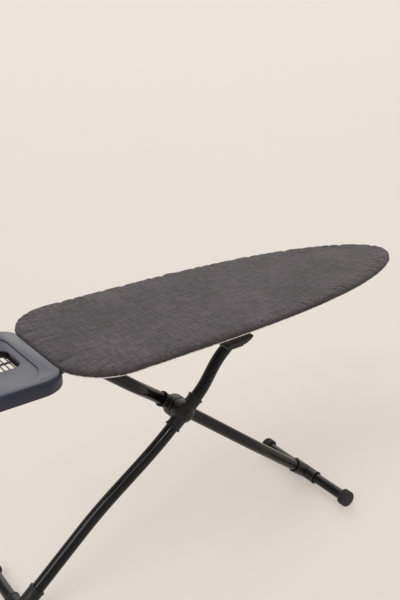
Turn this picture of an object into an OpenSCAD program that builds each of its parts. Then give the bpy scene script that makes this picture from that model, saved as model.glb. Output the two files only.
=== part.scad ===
// Folding ironing board with an iron tray at its square end.
// The padded deck points along +X, the tray is at -X, and the floor is Z = 0.
// X = 0 is the middle of the whole length, Y = 0 is the centre plane.

/* [Board] */
// Height of the board's top above the floor
board_h = 776; // [640:1:940]
// Length of the covered deck, tail to nose
deck_len = 1228; // [1180:1:1500]
// Width of the covered deck
deck_w = 450; // [370:1:560]
// Radius of the two tail corners
tail_r = 135; // [90:1:150]
// Distance from the tail at which the sides start to close towards the nose
nose_start = 186; // [160:1:260]
// Fullness of the nose curve along the board
nose_full = 2.89; // [2.4:0.01:3.2]
// Roundness of the nose tip
nose_round = 1.83; // [1.7:0.01:2]
// Thickness of the cotton cover
cover_t = 1.6; // [1:0.1:3]
// How far the cover reaches down its sides
cover_drop = 15; // [12:0.5:16]
// Thickness of the felt underlay
felt_t = 6; // [4:0.5:7]

/* [Deck frame] */
// Thickness of the perforated deck sheet
mesh_t = 1.2; // [0.8:0.1:2]
// Diameter of the steam holes in the deck sheet
vent_d = 30; // [16:1:36]
// Distance between neighbouring steam holes
vent_pitch = 42; // [40:1:60]
// Height of the rim channel
rim_h = 8.5; // [7.5:0.5:10]
// Width of the rim channel's flanges
rim_w = 13; // [9:0.5:18]
// Thickness of the pressed steel
steel_t = 1.5; // [1:0.1:2]
// Width of the cross braces
brace_w = 50; // [40:1:60]

/* [Slide rail] */
// Width of the slide rail
rail_w = 44; // [38:1:52]
// Height of the slide rail
rail_h = 19.1; // [17:0.1:22]
// Width of the slot along the rail's underside
rail_slot = 16; // [14:0.5:18]
// Distance of the rail's first end from the tail
rail_from = 222; // [200:1:240]
// Length of the slide rail
rail_len = 768; // [750:1:800]
// Length of the nylon carriage
carriage_len = 70; // [55:1:80]
// Notches of the height bar below the standing height
low_notches = 2; // [1:1:3]
// Distance between the height bar's notches
notch_pitch = 24; // [18:1:28]

/* [Legs] */
// Angle between each leg and the floor as the board stands
leg_angle = 39.6; // [36:0.1:45]
// Outside diameter of the leg tubes
leg_d = 36; // [30:0.5:38]
// Wall of the leg tubes
leg_wall = 1.6; // [1.2:0.1:2.5]
// Length of each leg from its top pivot to the hub
upper_arm = 408.2; // [380:0.1:425]
// Distance of the fixed top pivot from the tail
pivot_from = 98; // [92:1:110]
// Diameter of the two top pivot pins
pin_d = 8; // [6:0.5:10]
// Diameter of the hub bolt
hub_bolt_d = 12; // [8:0.5:14]
// Length of each hub shell along its leg
hub_len = 104; // [90:1:120]
// Diameter of the hub's round boss
hub_d = 66; // [60:1:70]
// Distance between the centre lines of the two legs at the hub
hub_gauge = 51; // [48:1:58]
// Wall of the hub shells around the tubes
hub_wall = 3.2; // [2.5:0.1:3.6]

/* [Feet] */
// Overall length of each cross foot, over its rubber caps
foot_len = 404; // [320:1:500]
// Outside diameter of the foot tubes
foot_d = 33; // [26:0.5:36]
// Diameter of the rubber foot caps
cap_d = 52; // [46:0.5:60]
// Length of the rubber foot caps
cap_w = 28; // [20:1:36]
// Height of the flat worn on the sole of each cap
cap_flat = 1.5; // [0.5:0.1:2.5]
// Length of the tee that joins a foot tube to its leg
tee_len = 108; // [90:1:130]
// Wall of the tee
tee_wall = 4.5; // [3:0.5:6]

/* [Iron tray] */
// Length of the tray, from its end to the deck's tail
tray_len = 360; // [320:1:420]
// Width of the tray
tray_w = 332; // [290:1:360]
// Distance of the tray's rim below the board's top
tray_drop = 7; // [5:0.5:9]
// Height of the tray's outer wall
tray_h = 32; // [30:1:36]
// Wall of the moulded tray
tray_wall = 3; // [2.5:0.1:4]
// How far the tray's front corners reach around the deck's tail
tray_wing = 14; // [4:1:18]
// Radius of the tray's corners in plan
tray_r = 72; // [50:1:80]
// Radius of the soft top edge of the tray
tray_edge_r = 12; // [9:0.5:14]
// Width of the raised border around the tray's field
border_w = 34; // [30:1:42]
// Depth of the tray's field below the border
field_drop = 3; // [2:0.5:4]
// Length of the window in the tray
window_len = 236; // [180:1:250]
// Width of the window in the tray
window_w = 104; // [80:1:130]
// Distance of the window from the tray's deck side
window_from = 52; // [48:1:70]
// Corner radius of the window
window_r = 24; // [15:1:30]
// Distance between the wires of the heat-proof grid in the window
wire_pitch = 13; // [10:0.5:20]
// Diameter of the grid's wires
wire_d = 3; // [2.5:0.1:4]
// Diameter of the two tubes that carry the tray
carrier_d = 16; // [12:0.5:18]
// Distance between the two carrier tubes
carrier_gauge = 196; // [170:1:230]

/* [Release lever] */
// Distance of the lever's shaft from the tail
lever_from = 422; // [415:1:440]
// Length of the lever's grip, along the board
lever_len = 84; // [60:1:95]
// Width of the lever's grip, across the board
lever_w = 42; // [30:1:50]
// Thickness of the lever's grip at its belly
lever_t = 16; // [13:0.5:18]
// Distance of the grip's outer edge in from the side of the board
lever_in = 12; // [8:1:20]
// Diameter of the lever's shaft
shaft_d = 8; // [6:0.5:9]

/* [Fits] */
// Radial clearance of the pins and of the shaft in their bores
pin_gap = 0.05; // [0.02:0.01:0.09]
// Radial clearance of tubes in their sockets
seat_gap = 0.15; // [0.1:0.05:0.3]
// Clearance between stacked pieces
stack_gap = 0.3; // [0.2:0.05:0.5]
// Clearance of the carriage in its rail
slide_gap = 0.6; // [0.4:0.1:0.9]
// Gap between the tray and the cover
tray_gap = 4; // [3:0.5:6]

/* [Hidden] */
$fn = 48;

// Colours
charcoal = [0.40, 0.38, 0.39];
felt_white = [0.82, 0.80, 0.75];
pale_steel = [0.80, 0.80, 0.78];
zinc = [0.70, 0.71, 0.73];
gloss_black = [0.07, 0.07, 0.08];
soft_black = [0.13, 0.13, 0.14];
blue_grey = [0.41, 0.41, 0.45];
nylon_white = [0.88, 0.87, 0.83];
rubber_black = [0.10, 0.10, 0.10];

// Lengthways places, all measured from the middle of the whole length
whole_len = deck_len + tray_gap + tray_len;
tail_x = whole_len / 2 - deck_len;
nose_x = tail_x + deck_len;
half_w = deck_w / 2;
taper_x = tail_x + nose_start;
taper_len = deck_len - nose_start;

// Levels of the stacked deck, from the top down
felt_top = board_h - cover_t - stack_gap;
mesh_top = felt_top - felt_t - stack_gap;
rim_top = mesh_top - mesh_t - stack_gap;
rim_bottom = rim_top - rim_h;
brace_top = rim_top - steel_t - stack_gap;
brace_bottom = rim_bottom + steel_t + stack_gap;
rail_top = brace_bottom - stack_gap;
rail_bottom = rail_top - rail_h;
cover_in = cover_t + 1.2;
rim_in = cover_in + 0.8;

// Leg geometry: two equal legs cross at the hub, so the tops and the feet stay level
leg_r = leg_d / 2;
leg_bore_r = leg_r - leg_wall;
pivot_z = rail_bottom - leg_r - 2.6;
foot_z = cap_d / 2 - cap_flat;
leg_len = (pivot_z - foot_z) / sin(leg_angle);
lower_arm = leg_len - upper_arm;
pivot_x = tail_x + pivot_from;
hub_x = pivot_x + upper_arm * cos(leg_angle);
hub_z = pivot_z - upper_arm * sin(leg_angle);
slider_x = pivot_x + 2 * upper_arm * cos(leg_angle);
hub_play = 1;
leg_side = max(hub_gauge / 2, leg_r + hub_wall + 1.8 + hub_play + stack_gap);
tube_top = 30;
tube_end = foot_d / 2 + tee_wall + 3;
bend_top = 146;
bend_low = 364;
pin_r = pin_d / 2;
bolt_r = hub_bolt_d / 2;
eye_r = pin_r + 11;
eye_w = 30;
lug_w = rail_slot - 2 * slide_gap;
fork_t = 6;

// Screws
screw_r = 2;
screw_head_r = 4;
screw_head_h = 2.4;

// Points of the deck's outline, moved inwards by a distance
function nose_point(turn, inset) = let(
    u = cos(turn) ^ (2 / nose_full), v = sin(turn) ^ (2 / nose_round),
    gx = nose_full * u ^ (nose_full - 1) / taper_len,
    gy = nose_round * v ^ (nose_round - 1) / half_w,
    g = norm([gx, gy]))
    [taper_x + taper_len * u - inset * gx / g, half_w * v - inset * gy / g];
function tail_point(turn, inset) =
    [tail_x + tail_r + (tail_r - inset) * cos(turn), half_w - tail_r + (tail_r - inset) * sin(turn)];
function side_points(inset) = concat(
    [for (turn = [180 : -5 : 90]) tail_point(turn, inset)],
    [for (turn = [90 : -3 : 3]) nose_point(turn, inset)]);
function flipped(points) = [for (i = [len(points) - 1 : -1 : 0]) [points[i][0], -points[i][1]]];
function outline(inset) = concat(side_points(inset), [nose_point(0, inset)], flipped(side_points(inset)));
// Half width of the deck at a place along it
function half_width(x) =
    x < tail_x + tail_r ? half_w - tail_r + tail_r * sqrt(max(0, 1 - ((tail_x + tail_r - x) / tail_r) ^ 2))
    : x <= taper_x ? half_w
    : half_w * (1 - ((x - taper_x) / taper_len) ^ nose_full) ^ (1 / nose_round);

module deck_slab(inset, bottom, top) {
    translate([0, 0, bottom]) linear_extrude(top - bottom) polygon(outline(inset));
}

module cross_cylinder(r, from, to) {
    translate([0, to, 0]) rotate([90, 0, 0]) cylinder(r = r, h = to - from);
}

module long_cylinder(r, from, to) {
    translate([from, 0, 0]) rotate([0, 90, 0]) cylinder(r = r, h = to - from);
}

module block(from, to) {
    translate(from) cube(to - from);
}

// A pan-head screw whose head rests on the plane Z = 0 and whose shank points down
module screw(length) {
    cylinder(r = screw_head_r, h = screw_head_h);
    translate([0, 0, -length]) cylinder(r = screw_r, h = length);
}

module screw_hole(length) {
    translate([0, 0, -length]) cylinder(r = screw_r + seat_gap, h = length + screw_head_h + 1);
}

// ---- Deck ----

module cover() {
    color(charcoal) difference() {
        deck_slab(0, board_h - cover_drop, board_h);
        deck_slab(cover_in - 1, board_h - cover_drop - 1, board_h - cover_t);
    }
}

module underlay() {
    color(felt_white) deck_slab(cover_in, felt_top - felt_t, felt_top);
}

module deck_mesh() {
    rows = floor((half_w - rim_w) / (vent_pitch * sin(60)));
    columns = floor(deck_len / vent_pitch);
    color(pale_steel) translate([0, 0, mesh_top - mesh_t]) linear_extrude(mesh_t) difference() {
        polygon(outline(rim_in));
        for (row = [-rows : rows], column = [0 : columns]) {
            x = tail_x + (column + (row % 2 == 0 ? 0.5 : 1)) * vent_pitch;
            y = row * vent_pitch * sin(60);
            reach = x < nose_x - 40 ? half_width(x) : 0;
            if (x > tail_x + rim_w + vent_d && abs(y) < reach - rim_w - vent_d * 0.75)
                translate([x, y]) circle(d = vent_d, $fn = 24);
        }
    }
}

module deck_rim() {
    color(pale_steel) difference() {
        deck_slab(rim_in, rim_bottom, rim_top);
        deck_slab(rim_in + steel_t, rim_bottom + steel_t, rim_top - steel_t);
        deck_slab(rim_in + rim_w, rim_bottom - 1, rim_top + 1);
    }
}

// A channel across the deck between the rim's flanges, with its walls turned up
module brace(x) {
    reach = min(half_width(x - brace_w / 2), half_width(x + brace_w / 2)) - rim_in - steel_t - 4;
    color(zinc) difference() {
        block([x - brace_w / 2, -reach, brace_bottom], [x + brace_w / 2, reach, brace_top]);
        block([x - brace_w / 2 + steel_t, -reach - 1, brace_bottom + steel_t],
            [x + brace_w / 2 - steel_t, reach + 1, brace_top + 1]);
        children();
    }
}

brace_xs = [pivot_x, tail_x + rail_from + 0.42 * rail_len, tail_x + rail_from + rail_len - brace_w / 2];
rail_screw_y = rail_w / 2 - 6;
rail_screw_xs = [brace_xs[1], brace_xs[2]];
bracket_screw_xs = [pivot_x - 14, pivot_x + 14];
bracket_w = eye_w + 2 * stack_gap + 2 * 2.5;
bracket_flange = 14;
bracket_screw_y = bracket_w / 2 + bracket_flange / 2;
carrier_z = rim_bottom - stack_gap - carrier_d / 2;

module tail_brace() {
    brace(pivot_x) {
        for (x = bracket_screw_xs, y = [-1, 1] * bracket_screw_y)
            translate([x, y, brace_bottom]) screw_hole(4);
        for (y = [-1, 1] * carrier_gauge / 2, side = [-1, 1])
            translate([pivot_x, y + side * (carrier_d / 2 + 6), brace_bottom]) screw_hole(4);
    }
}

module mid_brace() {
    brace(brace_xs[1]) for (side = [-1, 1])
        translate([brace_xs[1], side * rail_screw_y, brace_bottom]) screw_hole(4);
}

module nose_brace() {
    brace(brace_xs[2]) for (side = [-1, 1])
        translate([brace_xs[2], side * rail_screw_y, brace_bottom]) screw_hole(4);
}

// ---- Slide rail and fixed pivot ----

module slide_rail() {
    from = tail_x + rail_from;
    to = from + rail_len;
    color(gloss_black) difference() {
        block([from, -rail_w / 2, rail_bottom], [to, rail_w / 2, rail_top]);
        block([from - 1, -rail_w / 2 + steel_t, rail_bottom + steel_t],
            [to + 1, rail_w / 2 - steel_t, rail_top - steel_t]);
        block([from - 1, -rail_slot / 2, rail_bottom - 1],
            [to + 1, rail_slot / 2, rail_bottom + steel_t + 1]);
        for (x = rail_screw_xs, side = [-1, 1])
            translate([x, side * rail_screw_y, rail_top]) screw_hole(4);
    }
}

// Countersunk rivet-like screws, so that nothing stands inside the rail
module rail_screws() {
    color(zinc) for (x = rail_screw_xs, side = [-1, 1])
        translate([x, side * rail_screw_y, rail_top - steel_t])
            cylinder(r = screw_r, h = steel_t + stack_gap + steel_t);
}

module pivot_bracket() {
    top = rail_top;
    inner = eye_w / 2 + stack_gap;
    outer = bracket_w / 2;
    color(gloss_black) difference() {
        union() {
            block([pivot_x - 24, -outer - bracket_flange, top - 2.5],
                [pivot_x + 24, outer + bracket_flange, top]);
            for (side = [-1, 1]) {
                low = side < 0 ? -outer : inner;
                translate([pivot_x, 0, pivot_z]) cross_cylinder(13, low, low + 2.5);
                block([pivot_x - 13, low, pivot_z], [pivot_x + 13, low + 2.5, top]);
            }
        }
        translate([pivot_x, 0, pivot_z]) cross_cylinder(pin_r + pin_gap, -outer - 1, outer + 1);
        for (x = bracket_screw_xs, y = [-1, 1] * bracket_screw_y)
            translate([x, y, top]) screw_hole(4);
    }
}

module pivot_pin() {
    reach = bracket_w / 2;
    color(zinc) translate([pivot_x, 0, pivot_z]) {
        cross_cylinder(pin_r, -reach - 1.2, reach + 1.2);
        for (side = [-1, 1])
            cross_cylinder(pin_r + 3, side < 0 ? -reach - 3.4 : reach + 0.2,
                side < 0 ? -reach - 0.2 : reach + 3.4);
    }
}

// ---- Iron tray ----

tray_top = board_h - tray_drop;
tray_bottom = tray_top - tray_h;
tray_from = -whole_len / 2;
tray_to = tray_from + tray_len;
field_z = tray_top - field_drop;
window_to = tray_to - window_from;
window_mid = window_to - window_len / 2;
tray_mid = (tray_from + tray_to) / 2;
shell_mid = tray_mid + tray_wing / 2;
trim_w = 7;
trim_h = 15;

module rounded_plan(size_x, size_y, r) {
    union() {
        square([size_x - 2 * r, size_y], center = true);
        square([size_x, size_y - 2 * r], center = true);
        for (x = [-1, 1], y = [-1, 1]) translate([x * (size_x / 2 - r), y * (size_y / 2 - r)]) circle(r);
    }
}

// A rounded block with a soft top edge: a slab, a torus edge in each corner and a bar along each side
module soft_block(size_x, size_y, corner, edge, height) {
    translate([0, 0, -height]) linear_extrude(height - edge) rounded_plan(size_x, size_y, corner);
    translate([0, 0, -edge - 1]) linear_extrude(edge + 1)
        rounded_plan(size_x - 2 * edge, size_y - 2 * edge, corner - edge);
    for (x = [-1, 1], y = [-1, 1])
        translate([x * (size_x / 2 - corner), y * (size_y / 2 - corner), -edge])
            rotate([0, 0, x > 0 ? (y > 0 ? 0 : -90) : (y > 0 ? 90 : 180)])
                rotate_extrude(angle = 90) translate([corner - edge, 0]) circle(edge);
    for (y = [-1, 1]) translate([0, y * (size_y / 2 - edge), -edge])
        long_cylinder(edge, -size_x / 2 + corner, size_x / 2 - corner);
    for (x = [-1, 1]) translate([x * (size_x / 2 - edge), 0, -edge])
        cross_cylinder(edge, -size_y / 2 + corner, size_y / 2 - corner);
}

tray_post_y = carrier_gauge / 2;
tray_post_xs = [tray_from + 50, tray_to - 40];
tray_screw_top = field_z - 4;

module tray_shell() {
    inner_h = tray_h - tray_wall - field_drop;
    color(blue_grey) difference() {
        union() {
            difference() {
                translate([shell_mid, 0, tray_top])
                    soft_block(tray_len + tray_wing, tray_w, tray_r, tray_edge_r, tray_h);
                deck_slab(-tray_gap, tray_bottom - 1, board_h);
                translate([tray_mid, 0, field_z]) linear_extrude(field_drop + 1)
                    rounded_plan(tray_len - 2 * border_w, tray_w - 2 * border_w, tray_r - border_w / 2);
                translate([0, 0, tray_bottom - 1]) linear_extrude(inner_h + 1 - tray_edge_r) tray_hollow(tray_wall);
                translate([0, 0, tray_bottom]) linear_extrude(inner_h) tray_hollow(tray_edge_r);
            }
            for (x = tray_post_xs, y = [-1, 1] * tray_post_y)
                translate([x, y, carrier_z + carrier_d / 2 + stack_gap])
                    cylinder(r = 6, h = field_z - carrier_z - carrier_d / 2 - stack_gap - 1);
        }
        translate([window_mid, 0, tray_bottom]) linear_extrude(tray_h + 1)
            rounded_plan(window_len, window_w, window_r);
        for (x = tray_post_xs, y = [-1, 1] * tray_post_y)
            translate([x, y, tray_bottom - 1])
                cylinder(r = screw_r + seat_gap, h = tray_screw_top - tray_bottom + 1);
        for (y = [-1, 1] * tray_post_y)
            block([tray_to - 30, y - carrier_d / 2 - 1, tray_bottom - 1],
                [tray_to + 30, y + carrier_d / 2 + 1, carrier_z + carrier_d / 2 + 0.5]);
    }
}

// Plan of the hollow under the tray's top, with a wall left at the sides and beside the deck
module tray_hollow(wall) {
    difference() {
        translate([shell_mid, 0])
            rounded_plan(tray_len + tray_wing - 2 * wall, tray_w - 2 * wall, tray_r - wall);
        polygon(outline(-tray_gap - tray_wall));
    }
}

// A frame that lines the window and carries the grid
module window_trim() {
    size_x = window_len - 2 * seat_gap;
    size_y = window_w - 2 * seat_gap;
    r = window_r - seat_gap;
    color(gloss_black) translate([window_mid, 0, field_z - trim_h]) difference() {
        linear_extrude(trim_h - 0.5) rounded_plan(size_x, size_y, r);
        translate([0, 0, 3]) linear_extrude(trim_h) rounded_plan(size_x - 4, size_y - 4, r - 2);
        translate([0, 0, -1]) linear_extrude(trim_h)
            rounded_plan(size_x - 2 * trim_w, size_y - 2 * trim_w, r - trim_w);
    }
}

module iron_grid() {
    size_x = window_len - 2 * seat_gap - 5;
    size_y = window_w - 2 * seat_gap - 5;
    bar_z = field_z - trim_h + 3 + stack_gap;
    bar_h = wire_d + 1;
    bars = floor((size_x / 2 - 8) / wire_pitch);
    reach = bars * wire_pitch + 4;
    color(soft_black) translate([window_mid, 0, bar_z]) {
        for (y = [-size_y / 2 + 9, -2, size_y / 2 - 13])
            block([-reach, y, 0], [reach, y + 4, bar_h]);
        for (i = [-bars : bars]) translate([i * wire_pitch, 0, bar_h / 2]) {
            end = size_y / 2 - (abs(i) > bars - 2 ? 9 : 1);
            cross_cylinder(wire_d / 2, -end, end);
        }
    }
}

carrier_from = tray_from + 26;
carrier_to = pivot_x + 34;

module carrier_tube(y) {
    color(gloss_black) translate([0, y, carrier_z]) difference() {
        long_cylinder(carrier_d / 2, carrier_from, carrier_to);
        long_cylinder(carrier_d / 2 - 1.5, carrier_from - 1, carrier_to + 1);
        for (x = tray_post_xs)
            translate([x, 0, -carrier_d]) cylinder(r = screw_r + seat_gap, h = 2 * carrier_d);
    }
}

module near_carrier_tube() { carrier_tube(-carrier_gauge / 2); }

module far_carrier_tube() { carrier_tube(carrier_gauge / 2); }

// Saddles that clamp both carrier tubes under the tail brace
module carrier_clamps() {
    top = brace_bottom - stack_gap;
    reach = carrier_d / 2 + 10;
    color(soft_black) for (y = [-1, 1] * carrier_gauge / 2) difference() {
        block([pivot_x - 16, y - reach, carrier_z - carrier_d / 2 - 3], [pivot_x + 16, y + reach, top]);
        translate([0, y, carrier_z]) long_cylinder(carrier_d / 2 + seat_gap, pivot_x - 20, pivot_x + 20);
        for (side = [-1, 1]) translate([pivot_x, y + side * (carrier_d / 2 + 6), 0])
            cylinder(r = screw_r + seat_gap, h = top + 1);
    }
}

// Push-in plugs that close the carrier tubes' ends
module carrier_plugs() {
    color(soft_black) for (y = [-1, 1] * carrier_gauge / 2, end = [-1, 1]) {
        x = end < 0 ? carrier_from : carrier_to;
        translate([x, y, carrier_z]) {
            long_cylinder(carrier_d / 2, end < 0 ? -2 : stack_gap, end < 0 ? -stack_gap : 2);
            long_cylinder(carrier_d / 2 - 1.5 - seat_gap, end < 0 ? -1 : -10, end < 0 ? 10 : 1);
        }
    }
}

// Screws through the carrier tubes into the tray's posts, and up through the clamps
module underside_screws() {
    color(zinc) {
        for (x = tray_post_xs, y = [-1, 1] * tray_post_y)
            translate([x, y, carrier_z - carrier_d / 2]) rotate([180, 0, 0])
                screw(tray_screw_top - 0.5 - carrier_z + carrier_d / 2);
        for (y = [-1, 1] * carrier_gauge / 2, side = [-1, 1])
            translate([pivot_x, y + side * (carrier_d / 2 + 6), carrier_z - carrier_d / 2 - 3])
                rotate([180, 0, 0]) screw(brace_bottom + 3 - carrier_z + carrier_d / 2 + steel_t);
        for (x = bracket_screw_xs, y = [-1, 1] * bracket_screw_y)
            translate([x, y, rail_top - 2.5]) rotate([180, 0, 0]) screw(2.5 + stack_gap + 2 * steel_t);
    }
}

// ---- Height bar, pawl and release lever ----

bar_w = 12;
bar_top = rail_bottom + steel_t + slide_gap + 7;
bar_bottom = rail_bottom + steel_t + slide_gap + 1;
bar_to = slider_x + carriage_len / 2 - 12;
lever_x = tail_x + lever_from;
notch_w = 8;
notch_x = lever_x - 26.5;
bar_from = notch_x - low_notches * notch_pitch - 12;
shaft_z = rail_bottom - shaft_d / 2 - 4;
lever_out = -half_w + lever_in;
shaft_from = lever_out + 4;
shaft_to = 20;

// The grip is a paddle, thickest in its middle, under the board's near edge
module release_lever() {
    root_r = shaft_d / 2 + 3.5;
    tip_r = lever_t / 2 - 3.5;
    color(soft_black) difference() {
        union() {
            translate([lever_x, 0, shaft_z]) cross_cylinder(root_r, lever_out, lever_out + lever_w);
            hull() {
                translate([lever_x, 0, shaft_z]) cross_cylinder(root_r - 1, lever_out, lever_out + lever_w);
                translate([lever_x + 0.45 * lever_len, 0, shaft_z - 1])
                    cross_cylinder(lever_t / 2, lever_out + 1, lever_out + lever_w - 2);
                translate([lever_x + lever_len - tip_r, 0, shaft_z + 6])
                    cross_cylinder(tip_r, lever_out + 4, lever_out + lever_w - 8);
            }
        }
        translate([lever_x, 0, shaft_z])
            cross_cylinder(shaft_d / 2 + pin_gap, lever_out + 3, lever_out + lever_w + 1);
    }
}

module lever_shaft() {
    color(zinc) translate([lever_x, 0, shaft_z]) cross_cylinder(shaft_d / 2, shaft_from, shaft_to);
}

// The finger points back and up through the rail's slot to the notches
module latch_pawl() {
    finger_w = lug_w - 4;
    tip_z = bar_bottom - 0.5;
    color(zinc) difference() {
        union() {
            translate([lever_x, 0, shaft_z]) cross_cylinder(shaft_d / 2 + 3, -finger_w / 2, finger_w / 2);
            translate([0, finger_w / 2, 0]) rotate([90, 0, 0]) linear_extrude(finger_w)
                polygon([[lever_x + 1, shaft_z + 6.5], [lever_x - 20, tip_z], [lever_x - 25, tip_z],
                    [lever_x - 23, tip_z - 5], [lever_x - 4, shaft_z - 5]]);
        }
        translate([lever_x, 0, shaft_z]) cross_cylinder(shaft_d / 2 + pin_gap, -finger_w, finger_w);
    }
}

spring_r = shaft_d / 2 + 2.2;
spring_wire = 1.4;
spring_turns = 5;
spring_from = lever_out + lever_w + 6;

// Rings of a helix swept with an eight-sided wire
module lever_spring() {
    sides = 8;
    steps = 16 * spring_turns;
    points = [for (i = [0 : steps], j = [0 : sides - 1]) let(
        turn = 360 * i / 16, around = 360 * j / sides,
        r = spring_r + spring_wire / 2 * cos(around),
        y = spring_from + i * spring_wire * 1.25 / 16 + spring_wire / 2 * sin(around))
        [r * cos(turn), y, r * sin(turn)]];
    walls = [for (i = [0 : steps - 1], j = [0 : sides - 1]) let(
        a = i * sides + j, b = i * sides + (j + 1) % sides)
        [a, a + sides, b + sides, b]];
    ends = [[for (j = [0 : sides - 1]) j], [for (j = [sides - 1 : -1 : 0]) steps * sides + j]];
    color(zinc) translate([lever_x, 0, shaft_z]) polyhedron(points, concat(walls, ends), convexity = 6);
}

clip_ys = [-half_w + lever_in + lever_w + 24, -rail_w / 2 - 14];

// Bearings that hang the shaft: one under the rim side of the brace line, one beside the rail
module shaft_clips() {
    color(nylon_white) for (y = clip_ys) difference() {
        union() {
            translate([lever_x, y, shaft_z]) cross_cylinder(shaft_d / 2 + 3, -5, 5);
            block([lever_x - shaft_d / 2 - 3, y - 5, shaft_z],
                [lever_x + shaft_d / 2 + 3, y + 5, mesh_top - mesh_t - 0.1]);
        }
        translate([lever_x, y, shaft_z]) cross_cylinder(shaft_d / 2 + pin_gap, -6, 6);
    }
}

module carriage() {
    inner_w = rail_w / 2 - steel_t - slide_gap;
    color(nylon_white) difference() {
        union() {
            block([slider_x - carriage_len / 2, -inner_w, rail_bottom + steel_t + slide_gap],
                [slider_x + carriage_len / 2, inner_w, rail_top - steel_t - slide_gap]);
            block([slider_x - 12, -lug_w / 2, pivot_z],
                [slider_x + 12, lug_w / 2, rail_bottom + steel_t + slide_gap + 1]);
            translate([slider_x, 0, pivot_z]) cross_cylinder(12, -lug_w / 2, lug_w / 2);
        }
        translate([slider_x, 0, pivot_z]) cross_cylinder(pin_r + pin_gap, -lug_w, lug_w);
        block([slider_x - carriage_len, -bar_w / 2 - 0.2, bar_bottom - 3],
            [bar_to + 0.2, bar_w / 2 + 0.2, bar_top + 0.2]);
        for (x = [slider_x - 24, slider_x + 16]) translate([x, 0, bar_top - 1])
            cylinder(r = screw_r + seat_gap, h = rail_h);
    }
}

module carriage_pin() {
    reach = lug_w / 2 + 0.8 + fork_t;
    color(zinc) translate([slider_x, 0, pivot_z]) {
        cross_cylinder(pin_r, -reach - 0.6, reach + 0.6);
        for (side = [-1, 1])
            cross_cylinder(pin_r + 3, side < 0 ? -reach - 2.8 : reach + 0.4,
                side < 0 ? -reach - 0.4 : reach + 2.8);
    }
}

module height_bar() {
    high_notches = floor((slider_x - carriage_len / 2 - notch_w - 6 - notch_x) / notch_pitch);
    color(zinc) difference() {
        block([bar_from, -bar_w / 2, bar_bottom], [bar_to, bar_w / 2, bar_top]);
        for (i = [-low_notches : high_notches]) {
            x = notch_x + i * notch_pitch;
            block([x, -bar_w, bar_bottom - 1], [x + notch_w, bar_w, bar_bottom + 3]);
        }
        for (x = [slider_x - 24, slider_x + 16]) translate([x, 0, bar_bottom - 1])
            cylinder(r = screw_r + seat_gap, h = rail_h);
    }
}

module bar_rivets() {
    top = rail_top - steel_t - slide_gap;
    color(zinc) for (x = [slider_x - 24, slider_x + 16])
        translate([x, 0, bar_bottom]) cylinder(r = screw_r, h = top - bar_bottom);
}

// ---- Legs ----

// Places its children in a leg's own frame: origin at the hub, +X down the leg to the foot.
// Side 1 is the leg with the fixed top pivot, side -1 the leg whose top slides.
module leg_frame(side) {
    translate([hub_x, 0, hub_z]) mirror([side < 0 ? 1 : 0, 0, 0]) rotate([0, leg_angle, 0]) children();
}

// Sideways place of a leg's centre line, at a distance along it from the hub
leg_straight = hub_len / 2 + 6;
function leg_y(x) = let(bend = x < 0 ? bend_top : bend_low, t = (abs(x) - leg_straight) / bend)
    leg_side * (1 + cos(180 * max(0, min(1, t)))) / 2;
// Distances of the tube's rings from the hub: close together in the bends, one at each end
ring_xs = concat([tube_top - upper_arm],
    [for (i = [6 : -1 : 0]) -leg_straight - bend_top * i / 6],
    [for (i = [0 : 8]) leg_straight + bend_low * i / 8],
    [lower_arm - tube_end]);
tube_sides = 24;

// A tube with an open bore, swept along the leg's centre line
module swept_tube(side, outer, inner) {
    n = tube_sides;
    last = len(ring_xs) - 1;
    points = [for (r = [outer, inner], x = ring_xs, j = [0 : n - 1])
        [x, side * leg_y(x) + r * cos(360 * j / n), r * sin(360 * j / n)]];
    start = (last + 1) * n;
    walls = [for (i = [0 : last - 1], j = [0 : n - 1]) let(a = i * n + j, b = i * n + (j + 1) % n)
        [a, a + n, b + n, b]];
    bore = [for (face = walls) [for (k = [3 : -1 : 0]) face[k] + start]];
    rims = [for (j = [0 : n - 1]) let(a = j, b = (j + 1) % n) [b, b + start, a + start, a]];
    far_rims = [for (face = rims) [for (k = [3 : -1 : 0]) face[k] + last * n]];
    polyhedron(points, concat(walls, bore, rims, far_rims), convexity = 6);
}

top_screw = upper_arm - tube_top - 16;
tee_screw = lower_arm - tube_end - 18;

module leg_tube(side) {
    color(gloss_black) leg_frame(side) difference() {
        swept_tube(side, leg_r, leg_bore_r);
        cross_cylinder(bolt_r + pin_gap, -leg_side - leg_d, leg_side + leg_d);
        translate([-top_screw, 0, -leg_r]) rotate([180, 0, 0]) screw_hole(leg_r);
        translate([tee_screw, 0, -leg_r]) rotate([180, 0, 0]) screw_hole(leg_r);
    }
}

module fixed_leg_tube() { leg_tube(1); }

module sliding_leg_tube() { leg_tube(-1); }

// The plug that both top fittings push into the tube, with its collar
module top_plug() {
    plug_r = min(leg_bore_r - seat_gap, leg_bore_r * cos(180 / tube_sides) - 0.005);
    difference() {
        union() {
            long_cylinder(plug_r, tube_top - 1, tube_top + 32);
            long_cylinder(leg_r, tube_top - 6, tube_top - seat_gap);
        }
        translate([upper_arm - top_screw, 0, -leg_r]) cylinder(r = screw_r + seat_gap, h = leg_r);
    }
}

module fixed_leg_eye() {
    color(soft_black) leg_frame(1) translate([-upper_arm, 0, 0]) difference() {
        union() {
            top_plug();
            cross_cylinder(eye_r - 1, -eye_w / 2, eye_w / 2);
            block([0, -eye_w / 2, -9], [tube_top - 4, eye_w / 2, 9]);
        }
        cross_cylinder(pin_r + pin_gap, -eye_w, eye_w);
    }
}

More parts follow.
